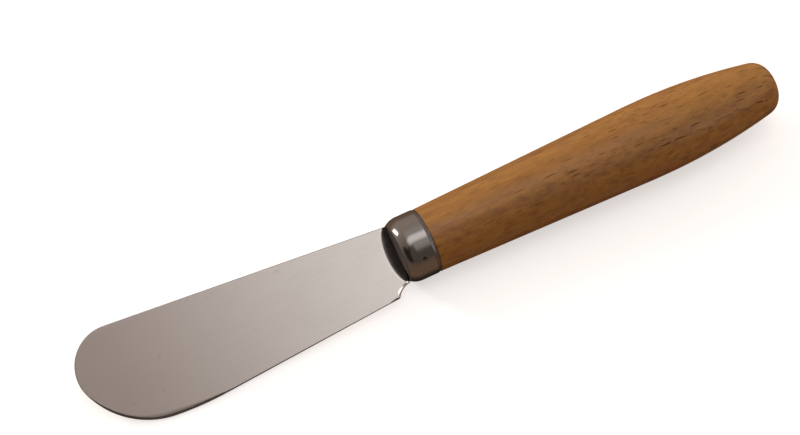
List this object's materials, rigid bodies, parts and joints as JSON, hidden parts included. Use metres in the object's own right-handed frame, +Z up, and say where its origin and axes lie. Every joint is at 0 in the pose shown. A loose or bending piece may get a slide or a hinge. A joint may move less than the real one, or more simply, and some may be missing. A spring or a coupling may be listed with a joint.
{
  "type": "butter knife",
  "caption": "Small spreader with a flat round-nosed steel blade, a drawn steel ferrule and a turned wooden handle that swells toward a rounded butt.",
  "frame": {"origin": "middle of the bounding box, on the surface the knife lies on", "axes": "+X from the tip of the blade to the butt, +Y from the cutting edge toward the spine, +Z up. The knife lies as it comes to rest, on the ferrule, the belly of the handle and the cutting edge, so its axis falls 1.3 degrees toward the tip and the blade leans 28.9 degrees, edge down."},
  "size_m": [0.179, 0.023, 0.0189],
  "materials": {
    "blade": "polished stainless steel, slightly hazy",
    "tang_resin": "cast resin, not seen from outside",
    "ferrule": "polished stainless steel",
    "handle": "steamed beech under a satin lacquer"
  },
  "bodies": {
    "root": {"blade": "blade", "tang_resin": "tang_resin", "ferrule": "ferrule", "handle": "handle"}
  },
  "joints": []
}
